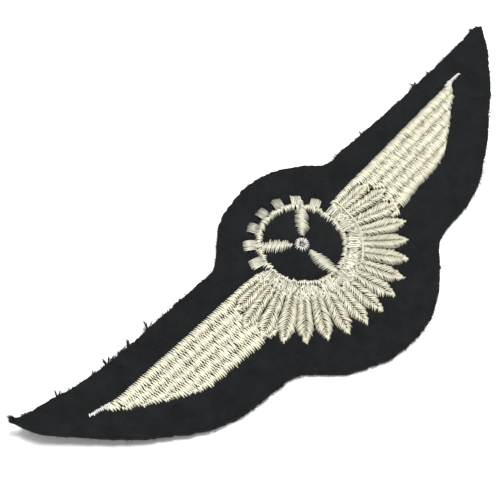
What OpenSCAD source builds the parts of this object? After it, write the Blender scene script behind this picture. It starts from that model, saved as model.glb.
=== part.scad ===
// Sew-on embroidered wings badge: a felt ground cut to shape, a non-woven
// backing, and a winged cog with a three-blade propeller worked in satin
// stitch. Every block of stitching is its own run of thread, so every block
// is its own solid. X runs along the wings, Y towards the top of the badge,
// Z out of its face. The origin is the propeller hub's centre, on the back.

/* [Cloth] */
// Thickness of the wool felt ground
felt_t = 1.4; // [1.0:0.1:2.0]
// Thickness of the non-woven backing
fleece_t = 0.3; // [0.2:0.05:0.5]
// Depth to which the bobbin thread is pulled into the backing
bobbin_t = 0.12; // [0.08:0.02:0.16]

/* [Stitching] */
// Height of the wing rows above the felt
row_h = 0.7; // [0.5:0.05:1.0]
// Height of the feathers above the felt
feather_h = 0.85; // [0.6:0.05:1.1]
// Height of the cog's ring, the blades and the hub above the felt
ring_h = 0.8; // [0.6:0.05:1.0]
// Height of the cog's teeth above the felt
tooth_h = 0.65; // [0.5:0.05:0.9]
// Height of the padding stitches under the satin
underlay_h = 0.2; // [0.1:0.05:0.3]
// Radius of the embroidery thread
thread_r = 0.17; // [0.12:0.01:0.2]

/* [Cog] */
// Inner radius of the cog's ring
cog_ri = 7.5; // [7.4:0.1:7.8]
// Outer radius of the cog's ring
cog_ro = 8.9; // [8.7:0.05:9.0]
// Radius over the cog's teeth
cog_rt = 10.9; // [10.5:0.05:10.95]
// Number of teeth on the cog
cog_teeth = 16; // [16]
// Width of a tooth
tooth_w = 2.2; // [1.8:0.1:2.4]
// Angle by which the first tooth leans from upright
cog_phase = 2; // [0:0.5:4]

/* [Propeller] */
// Angle of the raised blades above the wing line
blade_angle = 41; // [38:1:45]
// Distance from the hub's centre to a blade's root
blade_r0 = 1.75; // [1.7:0.05:2.0]
// Distance from the hub's centre to a blade's tip
blade_r1 = 8.35; // [8.0:0.05:8.5]
// Widest part of a blade
blade_w = 2.8; // [2.4:0.1:3.0]
// Outer radius of the hub
hub_ro = 1.45; // [1.2:0.05:1.5]
// Inner radius of the hub
hub_ri = 0.55; // [0.4:0.05:0.7]

/* [Feathers] */
// Radius at which the feathers start
fan_r0 = 11.4; // [11.35:0.05:11.6]
// Widest part of a feather
feather_w = 3.3; // [2.8:0.1:3.6]

/* [Hidden] */
$fn = 96;
zf = fleece_t + felt_t; // top face of the felt

// Felt outline, from the left tip along the top to the right tip
FELT_TOP = [[-62.6, 13.4], [-61.2, 12.6], [-59.2, 11.9], [-56, 11.3], [-53, 10.4], [-50, 9.8], [-44, 8.9],
    [-38, 8.5], [-34, 8.5], [-24, 8.2], [-20, 8.1], [-17, 8], [-15.2, 8.4], [-13.8, 9.2],
    [-12.2, 10.4], [-10.8, 11.6], [-8, 13.7], [-5, 14.8], [-2, 15.3], [1, 15.7], [4, 15.5], [7, 14.7],
    [9, 13.8], [12, 12.1], [14.2, 10.5], [16.2, 8.6], [19, 7.9], [22, 8.1], [25, 7.8], [28, 7.8],
    [34, 7.5], [37, 7.6], [40, 7.4], [46, 7.6], [50, 7.4], [55, 7.6], [61, 7.7], [64, 7.9],
    [65.2, 7.6], [65.9, 7.1]];
// and back along the bottom
FELT_BOTTOM = [[65.9, 7.1], [65.4, 6.2], [64.3, 4.9], [62.2, 2.4], [59.1, -0.2], [56.2, -2.8], [53, -5.3],
    [50, -7.1], [46.1, -9.9], [44, -11.1], [40, -13.3], [37.1, -15], [34, -16], [30, -16.9],
    [25, -17.2], [22, -17.4], [19.2, -18.2], [16.2, -20.6], [13, -23.1], [10, -25], [7, -26.3],
    [4, -27.1], [0, -27.5], [-4, -27.1], [-8, -26], [-12, -24.1], [-14.1, -23], [-16.8, -20.3],
    [-19.8, -17.3], [-22, -16.3], [-24.4, -15.9], [-28, -15.4], [-32, -15.1], [-35, -14.4],
    [-38, -13.2], [-41, -11.6], [-43.9, -9.4], [-46.8, -7.1], [-50, -4.4], [-53.4, -0.7], [-57.1, 3.5],
    [-59.8, 6.7], [-61.3, 9.2], [-62.1, 11.1], [-62.6, 13.4]];

// Wing edges at a distance x from the badge's centre line
WING_TOP = [[11.2, 2.1], [14, 2.4], [20, 2.6], [28, 2.75], [36, 3], [44, 3.2], [49, 3.3], [53, 3.3]];
WING_BOTTOM = [[11.2, -9.4], [17.8, -8.8], [20, -8.6], [24, -8.1], [28, -7.8], [32, -7.5], [34, -7.1],
    [36, -6.5], [38, -5.5], [40, -4.3], [42, -3.2], [44, -1.9], [46, -0.6], [48, 0.5], [49.4, 1.6], [50.4, 3]];
// Lines between the wing's rows, at 30 mm from the centre line, and their slope
ROW_Y = [9, 0.6, -1.4, -3.4, -5.6, -12];
ROW_SLOPE = 0.03;
ROW_STEP = 0.8; // distance between the points along a row

// Feathers on one side: angle from straight down, and tip radius
FEATHERS = [[0, 19.8], [12, 19.9], [24, 20.1], [36.2, 20.3], [48, 20.6], [59.2, 21.2],
    [70.2, 21.6], [80.2, 21.4], [89, 19.4]];
// Share of a blade's widest part along it, from root to tip
BLADE = [[0, 0.3], [0.12, 0.55], [0.22, 0.8], [0.36, 0.95], [0.5, 1], [0.62, 0.98], [0.74, 0.88],
    [0.87, 0.62], [0.95, 0.38], [1, 0.2]];

// ---- curves ----
function cr(a, b, c, d, t) = 0.5 * (2 * b + (c - a) * t + (2 * a - 5 * b + 4 * c - d) * t * t
    + (3 * b - a - 3 * c + d) * t * t * t);
function smooth(p, n) = [for (i = [0:len(p) - 2]) for (k = [0:n - 1])
    cr(p[max(i - 1, 0)], p[i], p[i + 1], p[min(i + 2, len(p) - 1)], k / n)];
function felt_points() = concat(smooth(FELT_TOP, 4), smooth(FELT_BOTTOM, 4));

// ---- wing rows ----
// the left wing's outer end lifts a little more than the right's
function rise(s, x) = s < 0 ? 1.0 * pow(max(0, x - 44) / 9, 2) : 0;
function row_line(j, x) = ROW_Y[j] + ROW_SLOPE * (x - 30);
function row_top(j, x) = min(lookup(x, WING_TOP), row_line(j - 1, x));
function row_bot(j, x) = max(lookup(x, WING_BOTTOM), row_line(j, x));
function row_x(j) = [for (i = [0:60]) let (x = 11.2 + i * ROW_STEP)
    if (x <= 50.2 && row_top(j, x) - row_bot(j, x) > 0.25) x];
// share is the part of the row's height that is kept, about its middle
function row_points(s, j, share) = let (xs = row_x(j), k = (1 - share) / 2) concat(
    [for (x = xs) let (t = row_top(j, x), b = row_bot(j, x)) [s * x, t - k * (t - b) + rise(s, x)]],
    [for (i = [len(xs) - 1:-1:0]) let (x = xs[i], t = row_top(j, x), b = row_bot(j, x))
        [s * x, b + k * (t - b) + rise(s, x)]]);

// ---- feathers ----
function half_gap(k) = k == 0 ? FEATHERS[1][0] / 2
    : k == len(FEATHERS) - 1 ? (FEATHERS[k][0] - FEATHERS[k - 1][0]) / 2
    : min(FEATHERS[k][0] - FEATHERS[k - 1][0], FEATHERS[k + 1][0] - FEATHERS[k][0]) / 2;
// half width at radius r: as wide as the gap to its neighbours allows, then a pointed tip
function half_w(k, r, r1, share) = share * min(feather_w / 2, r * tan(half_gap(k)) - 0.03,
    0.72 * pow(max(0, r1 - r), 0.8));
function feather_r(k) = [for (i = [0:20]) fan_r0 + (FEATHERS[k][1] - fan_r0) * i / 20];
function feather_points(s, k, share) = let (rs = feather_r(k), r1 = FEATHERS[k][1], a = -90 + s * FEATHERS[k][0]) concat(
    [for (r = rs) let (w = half_w(k, r, r1, share)) [r * cos(a) - w * sin(a), r * sin(a) + w * cos(a)]],
    [for (i = [len(rs) - 2:-1:0]) let (r = rs[i], w = half_w(k, r, r1, share))
        [r * cos(a) + w * sin(a), r * sin(a) - w * cos(a)]]);

// ---- propeller ----
function blade_half(u) = blade_w / 2 * lookup(u, BLADE);
function blade_points(a, share) = let (n = 16) concat(
    [for (i = [0:n]) let (u = i / n, r = blade_r0 + (blade_r1 - blade_r0) * u, w = share * blade_half(u))
        [r * cos(a) - w * sin(a), r * sin(a) + w * cos(a)]],
    [for (i = [n:-1:0]) let (u = i / n, r = blade_r0 + (blade_r1 - blade_r0) * u, w = share * blade_half(u))
        [r * cos(a) + w * sin(a), r * sin(a) - w * cos(a)]]);

// ---- flat shapes and blocks ----
module block(points, z0, h) { translate([0, 0, z0]) linear_extrude(height = h) polygon(points); }
module fan_block(s, z0, h) {
    for (k = [4:8]) block(feather_points(s, k, 1), z0, h);
    // the ground between the feather roots and the wing's inner end
    block(concat([for (a = [-51.5:4:0.5]) [s * 19.5 * cos(a), 19.5 * sin(a)]],
        [for (a = [0.5:-4:-51.5]) [s * 11.1 * cos(a), 11.1 * sin(a)]]), z0, h);
}
module ring(ri, ro, z0, h) {
    translate([0, 0, z0]) difference() {
        cylinder(r = ro, h = h);
        translate([0, 0, -1]) cylinder(r = ri, h = h + 2);
    }
}
module tooth(i, z0, h) {
    rotate([0, 0, 90 + cog_phase + i * 360 / cog_teeth])
        translate([cog_ro - 0.1, -tooth_w / 2, z0]) cube([cog_rt - cog_ro + 0.1, tooth_w, h]);
}
module teeth(first, last) {
    difference() {
        for (i = [first:last]) tooth(i, zf, tooth_h);
        translate([0, 0, zf - 1]) cylinder(r = cog_ro, h = tooth_h + 2);
    }
}

// ---- sub-parts ----
module felt_ground() { color([0.09, 0.1, 0.12]) block(felt_points(), fleece_t, felt_t); }

module backing_fleece() {
    color([0.2, 0.2, 0.21]) difference() {
        block(felt_points(), 0, fleece_t);
        translate([0, 0, -bobbin_t]) union() {
            bobbin_rows(-1, 2 * bobbin_t);
            bobbin_rows(1, 2 * bobbin_t);
            bobbin_feathers(2 * bobbin_t);
            bobbin_blades(2 * bobbin_t);
            bobbin_ring(2 * bobbin_t);
        }
    }
}

module wing_row(s, j) {
    color([0.86, 0.85, 0.77]) difference() {
        block(row_points(s, j, 1), zf, row_h);
        translate([0, 0, -0.5]) fan_block(s, zf, row_h + 1);
        wing_padding(s);
    }
}
module wing_padding(s) {
    block([for (p = [[24, 1.7], [46, 2.3], [44, -0.6], [38, -3.8], [33, -6.2], [24, -7]]) [s * p[0], p[1]]],
        zf, underlay_h);
}
module wing_spike(s) {
    color([0.9, 0.89, 0.83]) difference() {
        translate([0, 0, zf]) linear_extrude(height = 2 * thread_r) polygon([
            [s * 49.2, 2.55 + rise(s, 49.2)], [s * 50.8, 2.9 + rise(s, 50.8)], [s * 53, 3.05 + rise(s, 53)],
            [s * 53.1, 3.3 + rise(s, 53)], [s * 51, 3.55 + rise(s, 51)], [s * 49.2, 3.3 + rise(s, 49.2)]]);
        translate([0, 0, -0.5]) for (j = [1:2]) block(row_points(s, j, 1), zf, 2);
    }
}
module underlay_wing(s) { color([0.72, 0.7, 0.62]) wing_padding(s); }
module underlay_cog() {
    color([0.62, 0.6, 0.5]) difference() {
        ring(cog_ro, fan_r0 - 0.05, zf, underlay_h);
        for (i = [-3:12]) translate([0, 0, -0.5]) tooth(i, zf, tooth_h + 1);
        translate([-20, 1.6, zf - 1]) cube([40, 20, 4]);
    }
}

// the blade tips are worked across the ring
module cog_ring() {
    color([0.86, 0.85, 0.77]) difference() {
        ring(cog_ri, cog_ro, zf, ring_h);
        for (a = [blade_angle, 180 - blade_angle, -90]) block(blade_points(a, 1), zf - 1, ring_h + 2);
    }
}
module cog_teeth_upper() { color([0.83, 0.82, 0.74]) teeth(-3, 3); }
module cog_teeth_lower() { color([0.83, 0.82, 0.74]) teeth(4, 12); }

module blade(a) { color([0.86, 0.85, 0.77]) block(blade_points(a, 1), zf, ring_h); }
module propeller_hub() { color([0.88, 0.87, 0.84]) ring(hub_ri, hub_ro, zf, ring_h); }
module hub_knot() { color([0.5, 0.49, 0.46]) translate([0, 0, zf]) cylinder(r = hub_ri - 0.02, h = 0.5); }

module feather(s, k) {
    color([0.87, 0.85, 0.77]) block(feather_points(s, k, 1), zf, feather_h);
}
// a travelling thread that lies along the feather roots on the right
module fan_tie_thread() {
    color([0.88, 0.87, 0.8]) translate([0, 0, zf + underlay_h + thread_r]) rotate([0, 0, -66])
        rotate_extrude(angle = 68) translate([(cog_rt + fan_r0) / 2, 0]) circle(r = thread_r);
}

// under the wings it stops where the fan's outer feathers start
module bobbin_rows(s, h) {
    difference() {
        for (j = [1:5]) block(row_points(s, j, 0.5), 0, h);
        translate([0, 0, -1]) fan_block(s, 0, h + 2);
    }
}
// and under a feather it stops short of the tip
module bobbin_feather(s, k, h) {
    intersection() {
        block(feather_points(s, k, 0.45), 0, h);
        cylinder(r = FEATHERS[k][1] - 1.2, h = 3);
    }
}
module bobbin_feathers(h) {
    bobbin_feather(1, 0, h);
    for (k = [1:8]) for (s = [-1, 1]) bobbin_feather(s, k, h);
}
// stops short of the ring's own bobbin thread
module bobbin_blades(h) {
    for (a = [blade_angle, 180 - blade_angle, -90]) rotate([0, 0, a])
        translate([(blade_r0 + blade_r1) / 2 - 0.6, 0, 0]) scale([2.6, 0.6, 1]) cylinder(r = 1, h = h, $fn = 40);
}
module bobbin_ring(h) { ring(cog_ri + 0.95, cog_ro - 0.25, 0, h); }
module bobbin_wing(s) { color([0.9, 0.9, 0.88]) bobbin_rows(s, bobbin_t); }

felt_ground();
backing_fleece();
wing_row(-1, 1);  // left_wing_row_1
wing_row(-1, 2);  // left_wing_row_2
wing_row(-1, 3);  // left_wing_row_3
wing_row(-1, 4);  // left_wing_row_4
wing_row(-1, 5);  // left_wing_row_5
wing_spike(-1);  // left_wing_spike
wing_row(1, 1);  // right_wing_row_1
wing_row(1, 2);  // right_wing_row_2
wing_row(1, 3);  // right_wing_row_3
wing_row(1, 4);  // right_wing_row_4
wing_row(1, 5);  // right_wing_row_5
wing_spike(1);  // right_wing_spike
underlay_wing(-1);  // underlay_left_wing
underlay_wing(1);  // underlay_right_wing
underlay_cog();
cog_ring();
cog_teeth_upper();
cog_teeth_lower();
blade(180 - blade_angle);  // propeller_blade_left
blade(blade_angle);  // propeller_blade_right
blade(-90);  // propeller_blade_down
propeller_hub();
hub_knot();
feather(1, 0);  // feather_centre
feather(-1, 1);  // feather_left_1
feather(-1, 2);  // feather_left_2
feather(-1, 3);  // feather_left_3
feather(-1, 4);  // feather_left_4
feather(-1, 5);  // feather_left_5
feather(-1, 6);  // feather_left_6
feather(-1, 7);  // feather_left_7
feather(-1, 8);  // feather_left_8
feather(1, 1);  // feather_right_1
feather(1, 2);  // feather_right_2
feather(1, 3);  // feather_right_3
feather(1, 4);  // feather_right_4
feather(1, 5);  // feather_right_5
feather(1, 6);  // feather_right_6
feather(1, 7);  // feather_right_7
feather(1, 8);  // feather_right_8
fan_tie_thread();
bobbin_wing(-1);  // bobbin_left_wing
bobbin_wing(1);  // bobbin_right_wing
color([0.9, 0.9, 0.88]) bobbin_ring(bobbin_t);  // bobbin_cog
color([0.9, 0.9, 0.88]) bobbin_blades(bobbin_t);  // bobbin_propeller
color([0.9, 0.9, 0.88]) bobbin_feathers(bobbin_t);  // bobbin_fan
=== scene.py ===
import bpy
import math
import numpy as np
from mathutils import Matrix, Vector


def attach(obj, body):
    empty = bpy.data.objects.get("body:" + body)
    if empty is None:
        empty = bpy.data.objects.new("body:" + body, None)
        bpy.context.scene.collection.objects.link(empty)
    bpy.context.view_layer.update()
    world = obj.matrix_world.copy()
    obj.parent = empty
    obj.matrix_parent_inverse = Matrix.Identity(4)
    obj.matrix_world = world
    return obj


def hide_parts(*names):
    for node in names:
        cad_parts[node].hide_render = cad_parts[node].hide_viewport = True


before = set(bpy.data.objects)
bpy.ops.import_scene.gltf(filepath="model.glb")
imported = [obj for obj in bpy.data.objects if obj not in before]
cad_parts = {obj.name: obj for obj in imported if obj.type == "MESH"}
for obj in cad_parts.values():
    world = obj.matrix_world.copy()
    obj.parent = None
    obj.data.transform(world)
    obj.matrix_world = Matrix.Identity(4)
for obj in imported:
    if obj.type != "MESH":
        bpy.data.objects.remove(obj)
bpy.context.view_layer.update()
MM = 0.001
PI = math.pi

# ------------------------------------------------------------------ the design, in millimetres
FELT_TOP = [(-62.6, 13.4), (-61.2, 12.6), (-59.2, 11.9), (-56, 11.3), (-53, 10.4), (-50, 9.8), (-44, 8.9),
            (-38, 8.5), (-34, 8.5), (-24, 8.2), (-20, 8.1), (-17, 8), (-15.2, 8.4), (-13.8, 9.2),
            (-12.2, 10.4), (-10.8, 11.6), (-8, 13.7), (-5, 14.8), (-2, 15.3), (1, 15.7), (4, 15.5),
            (7, 14.7), (9, 13.8), (12, 12.1), (14.2, 10.5), (16.2, 8.6), (19, 7.9), (22, 8.1), (25, 7.8),
            (28, 7.8), (34, 7.5), (37, 7.6), (40, 7.4), (46, 7.6), (50, 7.4), (55, 7.6), (61, 7.7),
            (64, 7.9), (65.2, 7.6), (65.9, 7.1)]
FELT_BOTTOM = [(65.9, 7.1), (65.4, 6.2), (64.3, 4.9), (62.2, 2.4), (59.1, -0.2), (56.2, -2.8), (53, -5.3),
               (50, -7.1), (46.1, -9.9), (44, -11.1), (40, -13.3), (37.1, -15), (34, -16), (30, -16.9),
               (25, -17.2), (22, -17.4), (19.2, -18.2), (16.2, -20.6), (13, -23.1), (10, -25), (7, -26.3),
               (4, -27.1), (0, -27.5), (-4, -27.1), (-8, -26), (-12, -24.1), (-14.1, -23), (-16.8, -20.3),
               (-19.8, -17.3), (-22, -16.3), (-24.4, -15.9), (-28, -15.4), (-32, -15.1), (-35, -14.4),
               (-38, -13.2), (-41, -11.6), (-43.9, -9.4), (-46.8, -7.1), (-50, -4.4), (-53.4, -0.7),
               (-57.1, 3.5), (-59.8, 6.7), (-61.3, 9.2), (-62.1, 11.1), (-62.6, 13.4)]
WING_TOP = [(11.2, 2.1), (14, 2.4), (20, 2.6), (28, 2.75), (36, 3), (44, 3.2), (49, 3.3), (53, 3.3)]
WING_BOTTOM = [(11.2, -9.4), (17.8, -8.8), (20, -8.6), (24, -8.1), (28, -7.8), (32, -7.5), (34, -7.1),
               (36, -6.5), (38, -5.5), (40, -4.3), (42, -3.2), (44, -1.9), (46, -0.6), (48, 0.5),
               (49.4, 1.6), (50.4, 3)]
ROW_Y = [9, 0.6, -1.4, -3.4, -5.6, -12]
ROW_SLOPE = 0.03
FEATHERS = [(0, 19.8), (12, 19.9), (24, 20.1), (36.2, 20.3), (48, 20.6), (59.2, 21.2), (70.2, 21.6),
            (80.2, 21.4), (89, 19.4)]
BLADE = [(0, 0.3), (0.12, 0.55), (0.22, 0.8), (0.36, 0.95), (0.5, 1), (0.62, 0.98), (0.74, 0.88),
         (0.87, 0.62), (0.95, 0.38), (1, 0.2)]
BLADE_ANGLE, BLADE_R0, BLADE_R1, BLADE_W = 41, 1.75, 8.35, 2.8
COG_RI, COG_RO, COG_RT, TOOTH_W, COG_PHASE, COG_TEETH = 7.5, 8.9, 10.9, 2.2, 2, 16
HUB_RI, HUB_RO = 0.55, 1.45
FAN_R0, FEATHER_W = 11.4, 3.3
FLEECE_T, FELT_T = 0.3, 1.4
ZF = FLEECE_T + FELT_T
DIP = 0.42          # how far the stitching pulls the felt's face down
PITCH = 0.40        # distance between neighbouring stitches


def rng(seed):
    return np.random.default_rng(seed)


# ------------------------------------------------------------------ curves and outlines
def catmull(p, n):
    p = [np.array(q, float) for q in p]
    out = []
    for i in range(len(p) - 1):
        a, b, c, d = p[max(i - 1, 0)], p[i], p[i + 1], p[min(i + 2, len(p) - 1)]
        for k in range(n):
            t = k / n
            out.append(0.5 * (2 * b + (c - a) * t + (2 * a - 5 * b + 4 * c - d) * t * t + (3 * b - a - 3 * c + d) * t ** 3))
    out.append(p[-1])
    return np.array(out)


TOP = catmull(FELT_TOP, 4)
BOT = catmull(FELT_BOTTOM, 4)[::-1]


def look(x, t):
    t = np.asarray(t, float)
    return np.interp(x, t[:, 0], t[:, 1])


def rise(s, x):
    return (np.clip(x - 44, 0, None) / 9) ** 2 if s < 0 else 0 * np.asarray(x, float)


def row_line(j, x):
    return ROW_Y[j] + ROW_SLOPE * (x - 30)


def row_top(j, x):
    return np.minimum(look(x, WING_TOP), row_line(j - 1, x))


def row_bot(j, x):
    return np.maximum(look(x, WING_BOTTOM), row_line(j, x))


def half_gap(k):
    F = FEATHERS
    if k == 0:
        return F[1][0] / 2
    if k == len(F) - 1:
        return (F[k][0] - F[k - 1][0]) / 2
    return min(F[k][0] - F[k - 1][0], F[k + 1][0] - F[k][0]) / 2


def feather_half(k, r):
    r1 = FEATHERS[k][1]
    return np.minimum(np.minimum(FEATHER_W / 2, r * math.tan(math.radians(half_gap(k))) - 0.03),
                      0.72 * np.clip(r1 - r, 0, None) ** 0.8)


def feather_frame(s, k):
    a = math.radians(-90 + s * FEATHERS[k][0])
    return np.array([math.cos(a), math.sin(a)]), np.array([-math.sin(a), math.cos(a)])


def feather_poly(s, k):
    u, v = feather_frame(s, k)
    r = np.linspace(FAN_R0, FEATHERS[k][1], 21)
    w = feather_half(k, r)
    return np.concatenate([r[:, None] * u + w[:, None] * v, (r[:, None] * u - w[:, None] * v)[::-1]])


def blade_half(t):
    return BLADE_W / 2 * look(t, BLADE)


def blade_poly(angle):
    a = math.radians(angle)
    u, v = np.array([math.cos(a), math.sin(a)]), np.array([-math.sin(a), math.cos(a)])
    t = np.linspace(0, 1, 17)
    r, w = BLADE_R0 + (BLADE_R1 - BLADE_R0) * t, blade_half(t)
    return np.concatenate([r[:, None] * u + w[:, None] * v, (r[:, None] * u - w[:, None] * v)[::-1]])


def row_poly(s, j):
    x = np.arange(11.2, 50.3, 0.5)
    x = x[row_top(j, x) - row_bot(j, x) > 0.25]
    return np.concatenate([np.stack([s * x, row_top(j, x) + rise(s, x)], 1),
                           np.stack([s * x, row_bot(j, x) + rise(s, x)], 1)[::-1]])


def tooth_poly(i):
    a = math.radians(90 + COG_PHASE + i * 360 / COG_TEETH)
    u, v = np.array([math.cos(a), math.sin(a)]), np.array([-math.sin(a), math.cos(a)])
    return np.array([8.6 * u - 1.1 * v, 10.9 * u - 1.1 * v, 10.9 * u + 1.1 * v, 8.6 * u + 1.1 * v])


def inside(x, y, poly):
    c = np.zeros(np.shape(x), bool)
    n = len(poly)
    for i in range(n):
        x1, y1 = poly[i]
        x2, y2 = poly[(i + 1) % n]
        if y1 == y2:
            continue
        hit = ((y1 > y) != (y2 > y)) & (x < (x2 - x1) * (y - y1) / (y2 - y1) + x1)
        c ^= hit
    return c


# ------------------------------------------------------------------ noise
def vnoise(x, y, seed=0):
    x, y = np.asarray(x, float), np.asarray(y, float)
    xi, yi = np.floor(x).astype(np.int64), np.floor(y).astype(np.int64)
    fx, fy = x - xi, y - yi
    fx, fy = fx * fx * (3 - 2 * fx), fy * fy * (3 - 2 * fy)

    def h(a, b):
        n = (a * 374761393 + b * 668265263 + seed * 974634777) & 0xFFFFFFFF
        n = ((n ^ (n >> 13)) * 1274126177) & 0xFFFFFFFF
        return ((n ^ (n >> 16)) & 0xFFFF) / 32767.5 - 1

    return ((h(xi, yi) * (1 - fx) + h(xi + 1, yi) * fx) * (1 - fy)
            + (h(xi, yi + 1) * (1 - fx) + h(xi + 1, yi + 1) * fx) * fy)


# ------------------------------------------------------------------ where the stitching lies
GX0, GY0, GS = -68.0, -31.0, 0.2
GW, GH = int(136 / GS), int(50 / GS)
gx, gy = np.meshgrid(GX0 + (np.arange(GW) + 0.5) * GS, GY0 + (np.arange(GH) + 0.5) * GS)
stitched = np.zeros((GH, GW))
for s_ in (-1, 1):
    for j_ in range(1, 6):
        stitched[inside(gx, gy, row_poly(s_, j_))] = 1
    for k_ in range(9):
        stitched[inside(gx, gy, feather_poly(s_, k_))] = 1
for i_ in range(COG_TEETH):
    stitched[inside(gx, gy, tooth_poly(i_))] = 1
for a_ in (BLADE_ANGLE, 180 - BLADE_ANGLE, -90):
    stitched[inside(gx, gy, blade_poly(a_))] = 1
gr = np.hypot(gx, gy)
stitched[(gr > COG_RI) & (gr < COG_RO)] = 1
stitched[(gr > COG_RI) & (gr < FAN_R0 + 0.2) & (gy < 1.5)] = 1
stitched[gr < HUB_RO] = 1


def blur(m, sigma):
    n = int(3 * sigma / GS) + 1
    k = np.exp(-0.5 * (np.arange(-n, n + 1) * GS / sigma) ** 2)
    k /= k.sum()
    m = np.apply_along_axis(lambda r: np.convolve(r, k, "same"), 1, m)
    return np.apply_along_axis(lambda r: np.convolve(r, k, "same"), 0, m)


near = blur(stitched, 0.38)
wide = blur(stitched, 1.6)


def sample(m, x, y):
    u = np.clip((np.asarray(x) - GX0) / GS - 0.5, 0, GW - 1.001)
    v = np.clip((np.asarray(y) - GY0) / GS - 0.5, 0, GH - 1.001)
    i, j = u.astype(int), v.astype(int)
    a, b = u - i, v - j
    return (m[j, i] * (1 - a) + m[j, i + 1] * a) * (1 - b) + (m[j + 1, i] * (1 - a) + m[j + 1, i + 1] * a) * b


def lift(x, y):
    """How far the cloth stands off the table: the left tip curls up a little, and the right one less."""
    x, y = np.asarray(x, float), np.asarray(y, float)
    left = 3.2 * (np.clip(-x - 32, 0, 32) / 31) ** 1.7
    right = 0.4 * (np.clip(x - 46, 0, 20) / 19.5) ** 2
    low = 0.2 * np.clip((-x - 14) / 26, 0, 1) * np.clip((-y - 1) / 12, 0, 1)
    return left + right + low


def face(x, y):
    """Height of the felt's upper face before the cloth lifts."""
    return (ZF - DIP * sample(near, x, y) + 0.14 * (sample(wide, x, y) - sample(near, x, y)).clip(0, 1)
            + 0.05 * vnoise(x / 4.5, y / 4.5, 3) + 0.035 * vnoise(x / 1.3, y / 1.3, 5))


# ------------------------------------------------------------------ meshes
class Soup:
    """Collects closed tubes and makes one mesh of them."""

    def __init__(self):
        self.v, self.loops, self.totals, self.tone, self.n = [], [], [], [], 0

    def tubes(self, P, rx, rz, tone=None, K=8, lobes=0.0, twist=0.9, side=None, phase=None):
        P = np.asarray(P, float)
        S, M, _ = P.shape
        if S == 0:
            return
        rx = np.broadcast_to(np.asarray(rx, float), (S, M))
        rz = np.broadcast_to(np.asarray(rz, float), (S, M))
        T = np.gradient(P, axis=1)
        T /= np.linalg.norm(T, axis=2, keepdims=True) + 1e-12
        if side is None:
            chord = P[:, -1] - P[:, 0]
            flat = np.stack([-chord[:, 1], chord[:, 0], 0 * chord[:, 0]], 1)
            L = np.linalg.norm(flat, axis=1, keepdims=True)
            flat = np.where(L > 1e-9, flat / (L + 1e-12), np.array([0, 1.0, 0]))
            N = np.broadcast_to(-flat[:, None, :], (S, M, 3))
        else:
            N = np.cross(T, np.broadcast_to(np.array([0, 0, 1.0]), T.shape)) if isinstance(side, str) else np.broadcast_to(side[:, None, :], (S, M, 3))
        N = N - (N * T).sum(2, keepdims=True) * T
        L = np.linalg.norm(N, axis=2, keepdims=True)
        N = np.where(L > 1e-6, N / (L + 1e-12), np.array([1.0, 0, 0]))
        B = np.cross(N, T)
        run = np.concatenate([np.zeros((S, 1)), np.cumsum(np.linalg.norm(np.diff(P, axis=1), axis=2), axis=1)], 1)
        if phase is None:
            phase = (np.arange(S) * 2.399) % (2 * PI)
        phi = 2 * PI * np.arange(K) / K
        f = 1 + lobes * np.cos(2 * phi[None, None, :] + phase[:, None, None] - 2 * PI * run[:, :, None] / twist)
        off = (N[:, :, None, :] * (rx[:, :, None] * np.cos(phi) * f)[..., None]
               + B[:, :, None, :] * (rz[:, :, None] * np.sin(phi) * f)[..., None])
        V = (P[:, :, None, :] + off).reshape(-1, 3)
        idx = self.n + np.arange(S * M * K).reshape(S, M, K)
        nx = np.roll(idx, -1, axis=2)
        q = np.stack([idx[:, :-1], idx[:, 1:], nx[:, 1:], nx[:, :-1]], -1).reshape(-1)
        self.loops.append(q)
        self.totals.append(np.full(S * (M - 1) * K, 4))
        self.loops.append(idx[:, 0, :].reshape(-1))
        self.totals.append(np.full(S, K))
        self.loops.append(idx[:, -1, ::-1].reshape(-1))
        self.totals.append(np.full(S, K))
        self.v.append(V)
        if tone is None:
            tone = np.full(S, 0.5)
        tone = np.asarray(tone, float)
        tone = tone if tone.ndim == 2 else np.broadcast_to(tone, (S,))[:, None]
        self.tone.append(np.repeat(np.broadcast_to(tone, (S, M)).reshape(-1), K))
        self.n += len(V)

    def raw(self, V, loops, totals, tone=0.5):
        self.v.append(np.asarray(V, float))
        self.loops.append(np.asarray(loops) + self.n)
        self.totals.append(np.asarray(totals))
        self.tone.append(np.full(len(V), tone) if np.isscalar(tone) else np.asarray(tone))
        self.n += len(V)

    def build(self, name, material, replaces=(), smooth=True, raised=True):
        V = np.concatenate(self.v)
        if raised:
            V = V.copy()
            h = lift(V[:, 0], V[:, 1])
            V += np.stack([-0.31 * h, -0.30 * h, h], 1)
        V = V * MM
        loops = np.concatenate(self.loops).astype(np.int32)
        totals = np.concatenate(self.totals).astype(np.int32)
        me = bpy.data.meshes.new(name)
        me.vertices.add(len(V))
        me.vertices.foreach_set("co", V.astype(np.float32).ravel())
        me.loops.add(len(loops))
        me.loops.foreach_set("vertex_index", loops)
        me.polygons.add(len(totals))
        starts = np.concatenate([[0], np.cumsum(totals)[:-1]]).astype(np.int32)
        me.polygons.foreach_set("loop_start", starts)
        me.polygons.foreach_set("loop_total", totals)
        me.polygons.foreach_set("use_smooth", np.full(len(totals), smooth))
        at = me.attributes.new("tone", "FLOAT", "POINT")
        at.data.foreach_set("value", np.concatenate(self.tone).astype(np.float32))
        me.update(calc_edges=True)
        me.validate()
        me.materials.append(material)
        ob = bpy.data.objects.new(name, me)
        bpy.context.scene.collection.objects.link(ob)
        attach(ob, "root")
        if replaces:
            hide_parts(*replaces)
        return ob


# ------------------------------------------------------------------ materials
def principled(name):
    m = bpy.data.materials.new(name)
    m.use_nodes = True
    return m, m.node_tree, m.node_tree.nodes["Principled BSDF"]


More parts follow.
